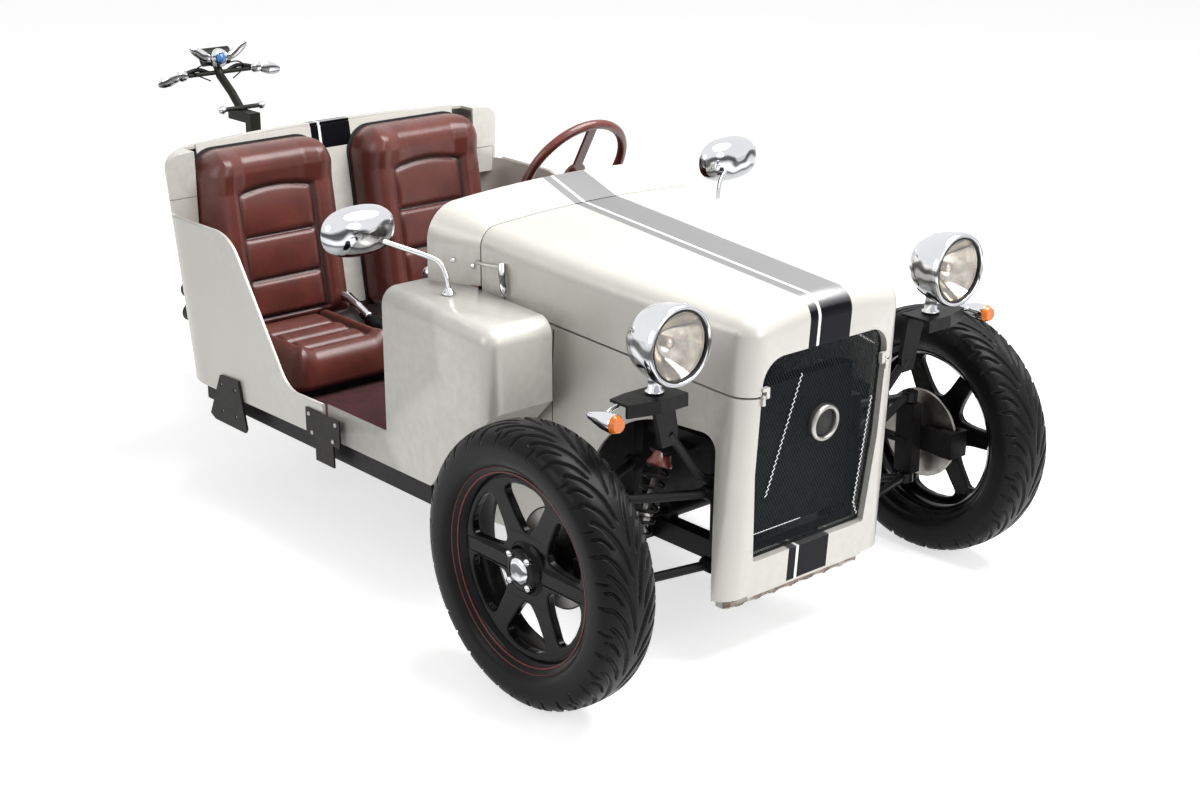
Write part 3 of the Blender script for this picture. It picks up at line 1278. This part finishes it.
# three paddles for each side: place across and up, half-length, half-height and tilt
PADDLES = ((0.176, -0.004, 0.044, 0.020, 0.25), (0.132, 0.004, 0.022, 0.018, -0.2),
           (0.062, 0.062, 0.046, 0.016, -0.55))
KNOB_OUTLINE = [(0, .007), (.006, .0125), (.016, .0125), (.022, .006), (.023, 0)]
LENS_OUTLINE = [(.0, .016), (.006, .0155), (.010, .011), (.012, 0)]
print("mast's head at Y", MAST_HEAD, "and Z", HEAD_Z)

# %% Rear mast
arms, bright, knobs = [], [], []
for side in (-1, 1):
    for radius, sides, places in BARS:
        path = rounded([(side * x, MAST_HEAD + y, HEAD_Z + z) for x, y, z in places])
        arms.append(swept(path, radius, sides))
    for x, z, long, high, tilt in PADDLES:
        spindle, faces = turned(SPINDLE, (0, 0, 0), (1, 0, 0), 28)
        turn = Matrix.Rotation(side * tilt, 3, "Y")
        middle = Vector((side * x, MAST_HEAD - 0.010, HEAD_Z + z))
        bright.append(([turn @ Vector((p.x * long, p.y * high * 0.42, p.z * high)) + middle for p in spindle], faces))
    knobs.append(turned(KNOB_OUTLINE, (side * 0.058, back(MAST + 60), 0.912), (side, 0, 0), 24))
bright.append(turned(CROWN, (0, MAST_HEAD - 0.004, 1.049), (0, -1, 0.1), 40))
piece("mast_arms", join(*arms), "satin_black")
piece("mast_paddles", join(*bright), "chrome")
piece("mast_knobs", join(*knobs), "chrome")
piece("mast_lens", turned(LENS_OUTLINE, (0, MAST_HEAD - 0.020, 1.051), (0, -1, 0.1), 32), "blue_lens")
print("mast dressed:", len(arms), "bars,", len(bright) - 1, "paddles")

# %% [markdown]
# ## Floor
# A wide pale floor keeps the car's soft shadow. Lamps alone would leave it
# grey, and brighter ones would bleach the car. So it glows a little, but only
# for the camera, for glass and for reflections: it reads as white without
# adding light to the car.

# %% Floor
FLOOR_HALF, FLOOR_GLOW = 30, 0.655


def seen(tree, glossy=1.0):
    """1 for what the camera or glass sees directly, and glossy for what a mirror sees."""
    path = node(tree, "ShaderNodeLightPath").outputs
    direct = maths(tree, "MAXIMUM", path["Is Camera Ray"], maths(tree, "MULTIPLY", path["Is Glossy Ray"], glossy))
    return maths(tree, "MAXIMUM", direct, path["Is Transmission Ray"])


floor_mesh = bpy.data.meshes.new("floor")
corners = [(x * FLOOR_HALF, y * FLOOR_HALF, 0) for x, y in ((-1, -1), (1, -1), (1, 1), (-1, 1))]
floor_mesh.from_pydata(corners, [], [(0, 1, 2, 3)])
floor = bpy.data.objects.new("floor", floor_mesh)
bpy.context.collection.objects.link(floor)
pale = bpy.data.materials.new("pale_floor")
pale.use_nodes = True
tree = pale.node_tree
shader = tree.nodes["Principled BSDF"]
for socket, value in (("Base Color", grey(0.78)), ("Roughness", 0.85), ("Specular IOR Level", 0.1),
                      ("Emission Color", grey(1))):
    shader.inputs[socket].default_value = value
tree.links.new(maths(tree, "MULTIPLY", seen(tree, 0.7), FLOOR_GLOW), shader.inputs["Emission Strength"])
floor_mesh.materials.append(pale)
print("floor is", 2 * FLOOR_HALF, "m wide")

# %% [markdown]
# ## World
# The room round the car is plain white to the camera and in reflections, but
# it lights the car with only a third of that strength. One full white world
# would fill every shadow and make the car look flat.

# %% World
ROOM_LIGHT = 0.34
world = bpy.data.worlds.new("studio")
bpy.context.scene.world = world
world.use_nodes = True
tree = world.node_tree
background = tree.nodes["Background"]
background.inputs["Color"].default_value = grey(1)
tree.links.new(ranged(tree, seen(tree), 0, 1, 1.0, ROOM_LIGHT), background.inputs["Strength"])
print("room's share of the light:", ROOM_LIGHT)

# %% [markdown]
# ## Lamps
# One large soft lamp hangs over the car, with two weaker ones in front and at
# its right side. Small lamps would draw hard shadows under the wheels. Large
# discs give the soft edge that the shadow of a car has in a bright hall.

# %% Lamps
# columns: name, place, aim, diameter in metres and power in watts
for name, spot, aim, size, power in (("overhead", (1.2, -1.6, 4.2), (0, -0.1, 0.4), 3.4, 290),
                                     ("front_fill", (0.6, -5.6, 2.6), (0, -0.6, 0.5), 2.6, 62),
                                     ("side_fill", (-4.8, 0.2, 2.8), (0, 0, 0.5), 2.6, 44)):
    lamp = bpy.data.objects.new(name, bpy.data.lights.new(name, "AREA"))
    bpy.context.collection.objects.link(lamp)
    lamp.location = spot
    lamp.rotation_euler = (Vector(spot) - Vector(aim)).to_track_quat("Z", "Y").to_euler()
    lamp.data.shape, lamp.data.size, lamp.data.energy = "DISK", size, power
bpy.context.scene.view_settings.view_transform = "Standard"
print("studio lit")
